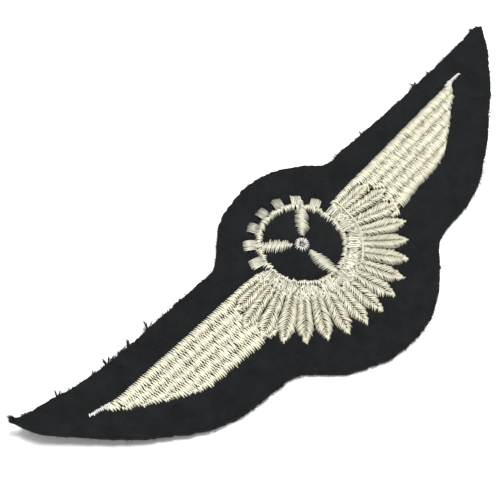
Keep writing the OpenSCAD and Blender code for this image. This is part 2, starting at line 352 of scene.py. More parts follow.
def thread_material(name, dark, light, rough, sheen, shine=0.9):
    m, nt, b = principled(name)
    at = nt.nodes.new("ShaderNodeAttribute")
    at.attribute_name = "tone"
    tc = nt.nodes.new("ShaderNodeTexCoord")
    nz = nt.nodes.new("ShaderNodeTexNoise")
    nz.inputs["Scale"].default_value = 3600
    nz.inputs["Detail"].default_value = 2
    nt.links.new(tc.outputs["Object"], nz.inputs["Vector"])
    add = nt.nodes.new("ShaderNodeMath")
    add.operation = "ADD"
    mul = nt.nodes.new("ShaderNodeMath")
    mul.operation = "MULTIPLY_ADD"
    mul.inputs[1].default_value = 0.6
    mul.inputs[2].default_value = -0.3
    nt.links.new(nz.outputs["Fac"], mul.inputs[0])
    nt.links.new(at.outputs["Fac"], add.inputs[0])
    nt.links.new(mul.outputs[0], add.inputs[1])
    ramp = nt.nodes.new("ShaderNodeValToRGB")
    ramp.color_ramp.elements[0].position = 0.0
    ramp.color_ramp.elements[0].color = (*dark, 1)
    ramp.color_ramp.elements[1].position = 1.0
    ramp.color_ramp.elements[1].color = (*light, 1)
    nt.links.new(add.outputs[0], ramp.inputs["Fac"])
    nt.links.new(ramp.outputs["Color"], b.inputs["Base Color"])
    b.inputs["Roughness"].default_value = rough
    b.inputs["Specular IOR Level"].default_value = shine
    b.inputs["Sheen Weight"].default_value = sheen
    b.inputs["Sheen Roughness"].default_value = 0.4
    return m


def felt_material(name, dark, light, sheen=0.3):
    m, nt, b = principled(name)
    tc = nt.nodes.new("ShaderNodeTexCoord")
    nz = nt.nodes.new("ShaderNodeTexNoise")
    nz.inputs["Scale"].default_value = 260
    nz.inputs["Detail"].default_value = 5
    nz.inputs["Roughness"].default_value = 0.7
    nt.links.new(tc.outputs["Object"], nz.inputs["Vector"])
    ramp = nt.nodes.new("ShaderNodeValToRGB")
    ramp.color_ramp.elements[0].position = 0.3
    ramp.color_ramp.elements[0].color = (*dark, 1)
    ramp.color_ramp.elements[1].position = 0.72
    ramp.color_ramp.elements[1].color = (*light, 1)
    nt.links.new(nz.outputs["Fac"], ramp.inputs["Fac"])
    nt.links.new(ramp.outputs["Color"], b.inputs["Base Color"])
    fine = nt.nodes.new("ShaderNodeTexNoise")
    fine.inputs["Scale"].default_value = 3200
    fine.inputs["Detail"].default_value = 3
    nt.links.new(tc.outputs["Object"], fine.inputs["Vector"])
    bump = nt.nodes.new("ShaderNodeBump")
    bump.inputs["Strength"].default_value = 0.6
    bump.inputs["Distance"].default_value = 0.00012
    nt.links.new(fine.outputs["Fac"], bump.inputs["Height"])
    nt.links.new(bump.outputs["Normal"], b.inputs["Normal"])
    b.inputs["Roughness"].default_value = 1.0
    b.inputs["Specular IOR Level"].default_value = 0.08
    b.inputs["Sheen Weight"].default_value = sheen
    b.inputs["Sheen Roughness"].default_value = 0.6
    return m


M_THREAD = thread_material("thread_cream_silver", (0.10, 0.092, 0.062), (0.605, 0.588, 0.465), 0.38, 0.0)
# lighter copy of the cream thread for the wings, with weaker specular: part of the highlight painted into the colour
M_WING = thread_material("thread_cream_silver_wings_painted_highlight", (0.18, 0.167, 0.122), (0.635, 0.616, 0.476), 0.42, 0.0, 0.45)
# darker copy of the cream thread for the fan: painted shade of the gaps between the barbs
M_FAN = thread_material("thread_cream_silver_fan_painted_shade", (0.10, 0.089, 0.060), (0.525, 0.505, 0.38), 0.38, 0.0)
# lighter, cooler copy of the cream thread for the wing spikes: painted highlight where the spikes catch the light
M_SPIKE = thread_material("thread_silver_spike_painted_highlight", (0.16, 0.155, 0.13), (0.66, 0.65, 0.60), 0.36, 0.0)
M_HUB = thread_material("thread_cool_silver", (0.14, 0.13, 0.125), (0.62, 0.60, 0.59), 0.36, 0.0)
# underlay thread drawn dark: painted shade in the gaps between the satin stitches over it
M_PAD = thread_material("thread_underlay_painted_shade", (0.06, 0.054, 0.04), (0.22, 0.20, 0.155), 0.5, 0.0)
M_BOBBIN = thread_material("thread_bobbin", (0.6, 0.6, 0.58), (0.85, 0.85, 0.83), 0.6, 0.1)
M_FELT = felt_material("felt_blue_black", (0.0040, 0.0046, 0.0050), (0.0085, 0.0093, 0.0102), 0.03)
M_NAP = felt_material("felt_nap", (0.006, 0.0066, 0.0070), (0.015, 0.0162, 0.0175), 0.03)
M_FLEECE = felt_material("fleece_charcoal", (0.03, 0.03, 0.032), (0.06, 0.06, 0.064), 0.1)


# ------------------------------------------------------------------ stitches
def arcs(A, B, z0, z1, top, M=9, power=0.42, wobble=0.0, r=None, skew=1.0):
    """Curved stitches from A to B: (S, 2) ends, (S,) heights of the ends and of the crown."""
    A, B = np.asarray(A, float), np.asarray(B, float)
    S = len(A)
    t = (1 - np.cos(PI * np.arange(M) / (M - 1))) / 2
    xy = A[:, None, :] * (1 - t)[None, :, None] + B[:, None, :] * t[None, :, None]
    base = z0[:, None] * (1 - t) + z1[:, None] * t
    ts = t ** skew if skew >= 1 else 1 - (1 - t) ** (1 / skew)
    p = (4 * ts * (1 - ts)) ** power
    z = base + (top[:, None] - base) * p[None, :]
    if wobble and r is not None:
        d = B - A
        n = np.stack([-d[:, 1], d[:, 0]], 1) / (np.linalg.norm(d, axis=1, keepdims=True) + 1e-9)
        w = r.normal(0, wobble, (S, 1)) * np.sin(PI * t)[None, :] + r.normal(0, wobble * 0.6, (S, 1)) * np.sin(2 * PI * t)[None, :]
        xy = xy + n[:, None, :] * w[:, :, None]
    return np.concatenate([xy, z[:, :, None]], 2)


def stitch(soup, A, B, seed, crown, width=0.25, height=0.17, end=None, end2=None, M=11, power=0.34, wobble=0.02,
           tone=0.6, spread=0.16, crown_jit=0.03, K=8, pinch=0.45, skew=1.0, lobes=0.18, twist=0.7, mid=0.0):
    """Separate stitches from A to B, each a two-ply thread that dives into the cloth at both ends."""
    r = rng(seed)
    A, B = np.asarray(A, float), np.asarray(B, float)
    S = len(A)
    if S == 0:
        return
    e0 = np.broadcast_to(ZF - DIP - 0.12 if end is None else end, (S,)).astype(float)
    e1 = np.broadcast_to(e0 if end2 is None else end2, (S,)).astype(float)
    top = np.broadcast_to(crown, (S,)) + r.normal(0, crown_jit, S)
    P = arcs(A, B, e0, e1, top, M, power, wobble, r, skew)
    t = (1 - np.cos(PI * np.arange(M) / (M - 1))) / 2
    swell = (4 * t * (1 - t)) ** 0.6
    k = r.uniform(0.88, 1.12, (S, 1))
    # tone: random per stitch, plus mid * (swell - 0.5), painted shading along the stitch: lighter at the crown than at
    # the ends for a positive mid, darker for a negative one
    soup.tubes(P, width / 2 * (pinch + (1 - pinch) * swell) * k, height / 2 * (0.7 + 0.3 * swell) * k,
               tone=np.clip(tone + r.normal(0, spread, (S, 1)) + mid * (swell - 0.5), 0, 1), K=K, lobes=lobes, twist=twist)


def zigzag(soup, T, B, seed, crown, jit=0.09, jit_side=0.03, drop=0.12, dark=0.36, narrow=0.75, back=None, **kw):
    """Satin stitch: the thread goes from T[i] to B[i] and back to T[i + 1], so two threads meet at every needle hole.
    The leg that goes back lies lower, in the furrow between two forward legs, and its tone is lowered by dark: painted
    shade of the furrow."""
    r = rng(seed + 5000)
    T, B = np.asarray(T, float), np.asarray(B, float)
    n = len(T)
    if n == 0:
        return
    d = B - T
    d /= np.linalg.norm(d, axis=1, keepdims=True) + 1e-9
    e = np.stack([-d[:, 1], d[:, 0]], 1)
    T = T + d * r.normal(0, jit, (n, 1)) + e * r.normal(0, jit_side, (n, 1))
    B = B + d * r.normal(0, jit, (n, 1)) + e * r.normal(0, jit_side, (n, 1))
    c = np.broadcast_to(crown, (n,)).astype(float)
    ends = [kw.pop("end", None), kw.pop("end2", None)]
    width, height, tone = kw.pop("width", 0.34), kw.pop("height", 0.18), kw.pop("tone", 0.7)
    skew = kw.pop("skew", 1.0)
    base = ZF - DIP - 0.12
    e0 = np.broadcast_to(base if ends[0] is None else ends[0], (n,)).astype(float)
    e1 = np.broadcast_to(e0 if ends[1] is None else ends[1], (n,)).astype(float)
    stitch(soup, T, B, seed, c, end=e0, end2=e1, width=width, height=height, tone=tone, skew=skew, **kw)
    # back legs: tone - dark is painted shade in the furrow between the forward legs
    stitch(soup, B[:-1], T[1:], seed + 1, (c[:-1] + c[1:]) / 2 - drop, end=e1[:-1], end2=e0[1:],
           width=width * narrow, height=height * narrow, tone=tone - dark, skew=1 / skew, **{**kw, **(back or {})})


BACK = {"left_wing": [], "right_wing": [], "cog": [], "propeller": [], "fan": []}


def under(soup, T, B, seed, where):
    """The same column seen from below: the needle's thread shows at both sides and the bobbin's in the middle third."""
    T, B = np.asarray(T, float), np.asarray(B, float)
    if len(T) < 2:
        return
    L = B - T
    for P, Q, q in ((T, T + 0.36 * L, 0), (B, B - 0.36 * L, 1)):
        stitch(soup, P, Q, seed + 40 + q, 0.085, width=0.22, height=0.12, end=0.26, M=5, K=6, power=0.3, tone=0.5, spread=0.1,
               crown_jit=0.004, pinch=0.8)
    BACK[where].append((T + L / 3, B - L / 3))


def bobbin(name, where, seed):
    soup = Soup()
    for i, (T, B) in enumerate(BACK[where]):
        for P, Q, q in ((T, B, 0), (B[:-1], T[1:], 1)):
            stitch(soup, P, Q, seed + 2 * i + q, 0.07, width=0.2, height=0.11, end=0.12, M=4, K=6, power=0.3, tone=0.6, spread=0.1,
                   crown_jit=0.004, pinch=0.9, wobble=0.01)
    return soup.build(name + "_threads", M_BOBBIN, [name])


def strands(soup, lines, seed, radius=0.17, tone=0.4, M=None, K=6, flat=0.8, lobes=0.08):
    """Long threads that follow polylines of (n, 3) points."""
    r = rng(seed)
    for i, L in enumerate(lines):
        L = np.asarray(L, float)[None]
        soup.tubes(L, radius, radius * flat, tone=np.clip(np.array([tone]) + r.normal(0, 0.1, 1), 0, 1), K=K,
                   lobes=lobes, side="up")


FAN = [(s, k, feather_poly(s, k)) for s in (-1, 1) for k in range(4, 9)]


def under_fan(x, y):
    c = np.zeros(np.shape(x), bool)
    for s, k, poly in FAN:
        c |= inside(x, y, poly)
    rr = np.hypot(x, y)
    return c | ((rr < 17.5) & (y < 0.7))


# ---- wings
def wing_row(s, j):
    """One row of satin stitch. The ends of neighbouring rows interlock along the seam between them."""
    r = rng(980 + 10 * j + (s > 0))
    T, B, C, E0, E1 = [], [], [], [], []
    for i in range(88):
        x = 10.9 + (0.44 * (j - 1)) % 0.48 + 0.48 * i
        xt, xb = x - 0.1, x + 0.1
        yt, yb = float(row_top(j, xt)), float(row_bot(j, xb))
        if yt - yb < 0.25 or x > 50.6:
            continue
        seam_t = j > 1 and abs(yt - float(row_line(j - 1, xt))) < 1e-6
        seam_b = j < 5 and abs(yb - float(row_line(j, xb))) < 1e-6
        if seam_t:
            xt, yt = xt + r.normal(0, 0.04), yt + 0.10 + r.normal(0, 0.085)
        else:
            yt += r.normal(0, 0.05)
        if seam_b:
            xb, yb = xb + r.normal(0, 0.04), yb - 0.10 + r.normal(0, 0.085)
        else:
            yb += r.normal(0, 0.17)
        yy = np.linspace(yt, yb, 40)
        xx = s * np.linspace(xt, xb, 40)
        free = ~under_fan(xx, yy)
        if not free.any():
            continue
        i0 = int(np.argmax(free))
        i1 = i0
        while i1 + 1 < 40 and free[i1 + 1]:
            i1 += 1
        if (i1 - i0) / 39 * (yt - yb) < 0.3:
            continue
        up = float(rise(s, x))
        T.append((xx[i0], yy[i0] + up))
        B.append((xx[i1], yy[i1] + up))
        C.append(min(1.0, (yt - yb) / 1.3))
        E0.append(ZF - 0.10 if seam_t else ZF - 0.5)
        E1.append(ZF - 0.10 if seam_b and i1 == 39 else ZF - 0.5)
    soup = Soup()
    # dark and back's mid set the painted shade of the back legs and the painted shading along them; row 1 gets less
    zigzag(soup, T, B, 300 + 10 * j + (s > 0), ZF + 0.06 + 0.20 * np.array(C), jit=0.0, jit_side=0.0, end=np.array(E0),
           end2=np.array(E1), tone=0.78, spread=0.10, power=0.5 if j == 1 else 0.34, wobble=0.035, width=0.25,
           crown_jit=0.035, dark=0.06 if j == 1 else 0.16, drop=0.02 if j == 1 else 0.05, narrow=0.95, skew=1.5 if j == 1 else 1.0, pinch=0.56, M=15, lobes=0.22,
           twist=0.62, back=dict(power=0.5, mid=0.12 if j == 1 else 0.3, spread=0.08 if j == 1 else 0.14))
    under(soup, T, B, 300 + 10 * j + (s > 0), "left_wing" if s < 0 else "right_wing")
    name = ("left" if s < 0 else "right") + f"_wing_row_{j}"
    return soup.build(name + "_stitches", M_WING, [name])


def wing_underlay(s):
    soup = Soup()
    lines = []
    for j in range(1, 6):
        for f in (0.3, 0.5, 0.7):
            x = np.arange(13.5, 50, 0.7)
            t, b = row_top(j, x), row_bot(j, x)
            ok = (t - b > 0.5)
            x, t, b = x[ok], t[ok], b[ok]
            y = t - f * (t - b) + rise(s, x)
            lines.append(np.stack([s * x, y + 0.05 * vnoise(x * 0.9, y * 3 + j, 8), np.full(len(x), ZF - DIP + 0.16) + 0.05 * vnoise(x, y * 5, 4)], 1))
    # dark padding thread: painted shade under the wing rows
    strands(soup, lines, 500 + s, radius=0.22, tone=0.35, flat=0.6)
    name = "underlay_" + ("left" if s < 0 else "right") + "_wing"
    return soup.build(name + "_threads", M_PAD, [name])


def wing_spike(s):
    """A narrow column of short stitches that ends each wing."""
    soup = Soup()
    tipx, tipy = 53.2, (4.25 if s < 0 else 3.15)
    y0 = 2.9 + float(rise(s, 48.6))
    xs = np.arange(48.9, tipx + 0.01, 0.36)
    u = (xs - 48.9) / (tipx - 48.9)
    yc = y0 + (tipy - y0) * u ** 0.9
    w = 0.30 * (1 - u) ** 0.8 + 0.20
    T = np.stack([s * (xs - 0.16), yc + w], 1)
    B = np.stack([s * (xs + 0.16), yc - w], 1)
    zigzag(soup, T, B, 42 + s, ZF + 0.30 - 0.08 * u, jit=0.09, tone=0.8, spread=0.12, dark=0.5, power=0.4, end=ZF - 0.3,
           width=0.26)
    under(soup, T, B, 43 + s, "left_wing" if s < 0 else "right_wing")
    lines = []
    for f in (-0.5, 0.5):
        x = np.linspace(48.6, tipx - 0.25, 10)
        q = (x - 48.6) / (tipx - 48.6)
        lines.append(np.stack([s * x, y0 + (tipy - y0) * q ** 0.9 + f * 0.3 * (1 - 0.6 * q), np.full(10, ZF + 0.02)], 1))
    strands(soup, lines, 41 + s, radius=0.16, tone=0.5, K=6, flat=0.8)
    name = ("left" if s < 0 else "right") + "_wing_spike"
    return soup.build(name + "_threads", M_SPIKE, [name])


# ---- feathers
def feather(s, k):
    r = rng(700 + 20 * k + (s > 0))
    u, v = feather_frame(s, k)
    r1 = FEATHERS[k][1]
    soup = Soup()
    # threads under the barbs, drawn dark (tone 0.24): painted shade under the barbs
    lines = []
    for f in (-0.82, -0.42, 0.0, 0.42, 0.82):
        rr = np.linspace(FAN_R0 - 0.1, r1 - 0.9 - 1.6 * abs(f), 14)
        w = feather_half(k, rr) * f
        P = rr[:, None] * u + w[:, None] * v
        lines.append(np.concatenate([P, np.full((14, 1), ZF - DIP + 0.2) + 0.04 * r.normal(size=(14, 1))], 1))
    strands(soup, lines, 701 + k, radius=0.2, tone=0.24, flat=0.6)
    step = 0.54
    slope = 1.05
    for side in (-1, 1):
        V0, E0, C = [], [], []
        for q in np.arange(FAN_R0 - 1.6, r1 - 0.25, step):
            q = q + r.normal(0, 0.035) + (0.5 * step if side > 0 else 0)
            # follow the barb out until it meets the feather's edge
            ww = np.linspace(0, 2.4, 97)
            rr = q + slope * ww
            half = np.where(rr > r1, 0, feather_half(k, np.clip(rr, FAN_R0, r1)))
            hit = int(np.argmax(ww >= half))
            w_end, r_end = ww[hit], rr[hit]
            if w_end < 0.08 or r_end < FAN_R0 + 0.1:
                continue
            q0, w0 = q, 0.0
            if q < FAN_R0 - 0.25:
                w0 = (FAN_R0 - 0.25 - q) / slope
                q0 = FAN_R0 - 0.25
                if w0 > w_end - 0.25:
                    continue
            V0.append(q0 * u + side * (w0 - 0.05) * v)
            more = r.normal(0.03, 0.11)
            E0.append((r_end + 0.05 + more) * u + side * (w_end + 0.8 * more) * v)
            C.append(min(1.0, math.hypot(r_end - q0, w_end) / 1.6))
        C = np.array(C)
        zigzag(soup, V0, E0, 720 + 20 * k + side + (s > 0) * 3, ZF + 0.12 + 0.22 * C, jit=0.05, jit_side=0.03, drop=0.07,
               dark=0.24, narrow=0.9, width=0.235, height=0.17, end=ZF - 0.16, end2=ZF - 0.45, tone=0.80 + 0.07 * (k > 4), spread=0.13,
               power=0.42, wobble=0.025, crown_jit=0.035, pinch=0.40, M=13, lobes=0.2, twist=0.6)
        under(soup, V0, E0, 720 + 20 * k + side + (s > 0) * 3, "fan")
    # the last long stitches that bring the tip to a point, drawn lighter (tone 0.95): painted highlight on the tips
    A, B = [], []
    for f in (-1, -0.35, 0.35, 1):
        A.append((r1 - 1.2 - 0.4 * abs(f)) * u + f * 0.30 * v)
        B.append((r1 + 0.20 - 0.6 * abs(f) + r.normal(0, 0.08)) * u + f * 0.16 * v)
    stitch(soup, A, B, 760 + k, ZF + 0.24, width=0.19, height=0.15, tone=0.95, spread=0.1, pinch=0.3)
    name = "feather_centre" if k == 0 else f"feather_{'left' if s < 0 else 'right'}_{k}"
    return soup.build(name + "_stitches", M_FAN, [name])


# ---- cog
def ring_stitches():
    soup = Soup()
    tips = [blade_poly(g) for g in (BLADE_ANGLE, 180 - BLADE_ANGLE, -90)]
    n = int(2 * PI * 8.2 / 0.40)
    a = np.arange(n) * 2 * PI / n
    d = PI / n
    over = np.zeros(n, bool)
    for poly in tips:
        over |= inside(8.1 * np.cos(a), 8.1 * np.sin(a), poly)
    start = 0
    runs = []
    i = 0
    while i < n:
        if over[i]:
            i += 1
            continue
        j = i
        while j + 1 < n and not over[j + 1]:
            j += 1
        runs.append((i, j + 1))
        i = j + 1
    for i, j in runs:
        q = a[i:j]
        ri = COG_RI + 0.2 * np.clip(0.3 - 4 * np.sin(q), 0, 1)
        T = np.stack([ri * np.cos(q), ri * np.sin(q)], 1)
        B = np.stack([(COG_RO - 0.05) * np.cos(q + d), (COG_RO - 0.05) * np.sin(q + d)], 1)
        zigzag(soup, T, B, 60 + i, ZF + 0.36, jit=0.17, jit_side=0.03, tone=0.80, spread=0.10, power=0.5, wobble=0.025, width=0.23,
               dark=0.30, crown_jit=0.03, drop=0.08, narrow=0.9, pinch=0.34, M=13, lobes=0.2, twist=0.6,
               back=dict(power=0.65, mid=0.3))
        under(soup, T, B, 60 + i, "cog")
    return soup.build("cog_ring_stitches", M_THREAD, ["cog_ring"])


def teeth(first, last, name):
    soup = Soup()
    low = name.endswith("lower")
    for i in range(first, last + 1):
        a = math.radians(90 + COG_PHASE + i * 360 / COG_TEETH)
        u, v = np.array([math.cos(a), math.sin(a)]), np.array([-math.sin(a), math.cos(a)])
        rt = 11.25 if low or i > 1 else 10.75
        w = np.linspace(-1.0, 1.0, 6)
        T = (COG_RO - 0.42) * u + (w * (0.95 if low else 0.84))[:, None] * v
        B = (rt - 0.12 * w ** 2)[:, None] * u + ((w + 0.1) * (0.90 if not low else 0.95))[:, None] * v
        # upper teeth drawn darker than the lower ones, the three at the top darkest: painted shade where their threads
        # turn away from the light; mid=-0.12 paints each tooth stitch darker at its crown
        zigzag(soup, T, B, 1000 + 10 * (i + 4), ZF + (0.24 if not low else 0.30), jit=0.08, jit_side=0.02, end=ZF - 0.02, end2=ZF - 0.5,
               tone=0.66 if low else (0.22 if abs(i) < 2 else 0.47), spread=0.06 if not low else 0.2, power=0.34, wobble=0.03,
               width=0.36 if not low else 0.26, dark=0.08 if not low else 0.45, drop=0.04 if not low else 0.12,
               pinch=0.5 if not low else 0.45, mid=-0.12)
        under(soup, T, B, 1000 + 10 * (i + 4), "cog")
    return soup.build(name + "_stitches", M_THREAD, [name])


def cog_underlay():
    """Short criss-cross stitches that fill the ground between the lower teeth."""
    soup = Soup()
    r = rng(80)
    n = 760
    a = np.radians(np.linspace(-187, 7, n) + r.normal(0, 0.6, n))
    rm = r.uniform(9.0, 11.5, n)
    g = a + r.choice([-1, 1], n) * r.uniform(0.35, 0.9, n)
    L = r.uniform(0.5, 0.9, n)
    c = np.stack([rm * np.cos(a), rm * np.sin(a)], 1)
    d = np.stack([np.cos(g), np.sin(g)], 1) * L[:, None]
    stitch(soup, c - d, c + d, 81, ZF + 0.06 + 0.22 * r.random(n), width=0.26, height=0.16, tone=0.55, spread=0.3, end=ZF - DIP - 0.1)
    return soup.build("underlay_cog_threads", M_THREAD, ["underlay_cog"])


# ---- propeller
def blade(angle, name, seed):
    soup = Soup()
    a = math.radians(angle)
    u, v = np.array([math.cos(a), math.sin(a)]), np.array([-math.sin(a), math.cos(a)])
    n = int((BLADE_R1 - BLADE_R0) / 0.42)
    t = (np.arange(n + 1) + 0.3) / (n + 0.6)
    rr = BLADE_R0 + (BLADE_R1 - BLADE_R0) * t
    w = blade_half(t)
    T = (rr + 0.34 * w)[:, None] * u + w[:, None] * v
    B = (rr + 0.19 - 0.34 * w)[:, None] * u - w[:, None] * v
    # mid=-0.34 draws each stitch darker at the blade's centre and lighter towards its edges: painted shading
    zigzag(soup, T, B, seed, ZF + 0.14 + 0.22 * np.clip(w, 0, 1), jit=0.15, jit_side=0.02, tone=0.60, spread=0.05,
           power=0.42, wobble=0.015, width=0.27, height=0.17, dark=0.06, crown_jit=0.012, drop=0.02, narrow=0.95, pinch=0.30, M=13,
           lobes=0.2, twist=0.6, mid=-0.34, back=dict(power=0.6, mid=0.1))
    under(soup, T, B, seed, "propeller")
    # the tip's last stitches lie across the ring
    rr = BLADE_R1 + np.array([-0.5, -0.15, 0.2, 0.55, 0.85])
    w = np.array([0.50, 0.44, 0.36, 0.27, 0.15])
    T = (rr + 0.5 * w)[:, None] * u + w[:, None] * v
    B = (rr + 0.17 - 0.5 * w)[:, None] * u - w[:, None] * v
    zigzag(soup, T, B, seed + 5, ZF + 0.50 - 0.05 * np.arange(5) / 4, jit=0.06, jit_side=0.02, tone=0.72, spread=0.12, end=ZF + 0.12,
           power=0.45, wobble=0.02, width=0.22, dark=0.25, crown_jit=0.02, drop=0.04, narrow=0.9, pinch=0.4, lobes=0.2, twist=0.6)
    return soup.build(name + "_stitches", M_THREAD, [name])


def hub():
    soup = Soup()
    n = 17
    a = np.arange(n + 1) * 2 * PI / n
    T = np.stack([HUB_RI * np.cos(a), HUB_RI * np.sin(a)], 1)
    B = np.stack([HUB_RO * np.cos(a + PI / n), HUB_RO * np.sin(a + PI / n)], 1)
    zigzag(soup, T, B, 91, ZF + 0.34, jit=0.07, width=0.26, height=0.18, tone=0.7, spread=0.15)
    under(soup, T, B, 91, "propeller")
    soup.build("propeller_hub_stitches", M_HUB, ["propeller_hub"])
    soup = Soup()
    A = [(-0.45, -0.25), (-0.3, 0.4), (0.1, -0.45)]
    B = [(0.5, 0.3), (0.4, -0.4), (0.15, 0.5)]
    stitch(soup, A, B, 92, ZF - 0.12, width=0.18, height=0.13, tone=0.3, spread=0.1)
    soup.build("hub_knot_threads", M_HUB, ["hub_knot"])


def tie_thread():
    soup = Soup()
    P = catmull([(10.6, 2.0), (11.4, 1.2), (11.35, -0.8), (11.1, -2.8), (10.6, -4.6), (9.4, -6.6), (7.6, -8.4), (6.0, -9.7), (4.9, -10.4)], 8)
    for q, off in enumerate((0.0, 0.17)):
        n = len(P)
        f = np.linspace(0, 1, n)
        z = ZF + 0.52 + 0.05 * np.sin(f * 14 + q)
        z[:3] = ZF + np.array([-0.4, 0.0, 0.3])
        z[-3:] = ZF + np.array([0.3, 0.0, -0.4])
        rad = np.hypot(P[:, 0], P[:, 1])[:, None]
        Q = P + P / rad * (off + 0.05 * np.sin(f * 9 + 2 * q))[:, None]
        strands(soup, [np.concatenate([Q, z[:, None]], 1)], 95 + q, radius=0.078, tone=0.85, K=8, flat=1.0, lobes=0.14)
    return soup.build("fan_tie_threads", M_THREAD, ["fan_tie_thread"])


# ------------------------------------------------------------------ cloth
def cloth(name, z_top, z_bot, material, replaces, nx=560, ny=66, inset=0.0, bulge=0.10, rough=0.15, seed=11):
    """A closed sheet cut to the badge's outline. z_top and z_bot give its faces' heights."""
    x = np.linspace(-62.56, 65.86, nx)
    yt = np.interp(x, TOP[:, 0], TOP[:, 1]) - inset
    yb = np.interp(x, BOT[:, 0], BOT[:, 1]) + inset
    yt = yt + 0.5 * rough * vnoise(x * 0.6, x * 0 + 1.5, seed) + 1.1 * rough * vnoise(x * 1.9, x * 0 + 7.5, seed + 1)
    yb = yb + rough * vnoise(x * 0.6, x * 0 + 11.5, seed + 2) + 1.3 * rough * vnoise(x * 1.7, x * 0 + 17.5, seed + 3)
    bad = yt - yb < 0.25
    mid = (yt + yb) / 2
    yt, yb = np.where(bad, mid + 0.125, yt), np.where(bad, mid - 0.125, yb)
    t = np.linspace(0, 1, ny)
    X = np.broadcast_to(x[:, None], (nx, ny))
    Y = yb[:, None] * (1 - t) + yt[:, None] * t
    Zt, Zb = z_top(X, Y), z_bot(X, Y)
    V = [np.stack([X, Y, Zt], -1).reshape(-1, 3), np.stack([X, Y, Zb], -1).reshape(-1, 3)]
    idx = np.arange(nx * ny).reshape(nx, ny)
    q = np.stack([idx[:-1, :-1], idx[1:, :-1], idx[1:, 1:], idx[:-1, 1:]], -1).reshape(-1)
    low = idx + nx * ny
    ql = np.stack([low[:-1, :-1], low[:-1, 1:], low[1:, 1:], low[1:, :-1]], -1).reshape(-1)
    loops = [q, ql]
    totals = [np.full(len(q) // 4, 4), np.full(len(ql) // 4, 4)]
    # the cut edge, counter-clockwise
    ring = np.concatenate([idx[:, 0], idx[-1, 1:], idx[-2::-1, -1], idx[0, -2:0:-1]])
    n = len(ring)
    P = V[0][ring]
    d = np.roll(P[:, :2], -1, 0) - np.roll(P[:, :2], 1, 0)
    nrm = np.stack([d[:, 1], -d[:, 0]], 1)
    nrm /= np.linalg.norm(nrm, axis=1, keepdims=True) + 1e-9
    ztr, zbr = V[0][ring][:, 2], V[1][ring][:, 2]
    L = 5
    rings = [ring]
    base = 2 * nx * ny
    for i in range(1, L + 1):
        f = i / (L + 1)
        out = bulge * math.sin(PI * f) * (1 + 1.0 * vnoise(P[:, 0] * 1.6 + i * 3.1, P[:, 1] * 1.6 + i, seed + 9))
        z = ztr * (1 - f) + zbr * f
        V.append(np.concatenate([P[:, :2] + nrm * out[:, None], z[:, None]], 1))
        rings.append(base + np.arange(n))
        base += n
    rings.append(ring + nx * ny)
    for a, b in zip(rings[:-1], rings[1:]):
        q = np.stack([a, b, np.roll(b, -1), np.roll(a, -1)], -1).reshape(-1)
        loops.append(q)
        totals.append(np.full(n, 4))
    soup = Soup()
    soup.raw(np.concatenate(V), np.concatenate(loops), np.concatenate(totals))
    ob = soup.build(name, material, replaces)
    return ob, np.concatenate([P[:, :2], nrm], 1)


def felt_face(x, y):
    return face(x, y) + 0.022 * vnoise(x / 0.42, y / 0.42, 21) + 0.015 * vnoise(x / 0.8, y / 0.8, 22)


def fleece_top(x, y):
    return FLEECE_T + 0 * x


def fleece_bottom(x, y):
    return 0.10 * sample(near, x, y) + 0.012 * (1 + vnoise(x / 0.5, y / 0.5, 31))


felt, edge = cloth("felt_ground_cloth", felt_face, lambda x, y: FLEECE_T + 0.02 + 0 * x, M_FELT, ["felt_ground"])
fleece, _ = cloth("backing_fleece_cloth", fleece_top, fleece_bottom, M_FLEECE, ["backing_fleece"],
                  nx=200, ny=60, inset=0.16, bulge=0.03, seed=51)


def fibres(soup, P0, direction, length, seed, M=5, radius=0.016, curl=0.5, climb=0.1, K=3, tone=0.5):
    """Loose wool fibres from the points P0 (S, 3), setting off along direction (S, 3)."""
    r = rng(seed)
    S = len(P0)
    d = np.asarray(direction, float).copy()
    P = [np.asarray(P0, float)]
    step = np.asarray(length)[:, None] / (M - 1)
    turn = r.normal(0, curl, (S, 3))
    turn[:, 2] *= climb
    floor_ = radius * 1.3
    for i in range(M - 1):
        d = d + turn / (M - 1) * 2 + r.normal(0, curl * 0.35, (S, 3)) * np.array([1, 1, climb])
        d /= np.linalg.norm(d, axis=1, keepdims=True)
        P.append(P[-1] + d * step)
    P = np.stack(P, 1)
    P[:, :, 2] = np.maximum(P[:, :, 2], floor_)
    t = np.linspace(0, 1, M)
    rad = radius * r.uniform(0.7, 1.25, (S, 1)) * (1 - 0.65 * t ** 2)
    soup.tubes(P, rad, rad, tone=np.clip(r.normal(tone, 0.2, S), 0, 1), K=K, side="up")


def nap(name, x0, x1, n, seed):
    r = rng(seed)
    x = r.uniform(x0, x1, n * 3)
    y = r.uniform(-28, 16, n * 3)
    ok = (y < np.interp(x, TOP[:, 0], TOP[:, 1]) - 0.05) & (y > np.interp(x, BOT[:, 0], BOT[:, 1]) + 0.05)
    ok &= (sample(near, x, y) < 0.55)
    x, y = x[ok][:n], y[ok][:n]
    S = len(x)
    a = r.uniform(0, 2 * PI, S)
    d = np.stack([np.cos(a), np.sin(a), r.uniform(-0.02, 0.22, S)], 1)
    soup = Soup()
    fibres(soup, np.stack([x, y, felt_face(x, y) - 0.01], 1), d, r.uniform(0.5, 1.8, S), seed + 1, curl=0.55, climb=0.12)
    return soup.build(name, M_NAP, raised=True)


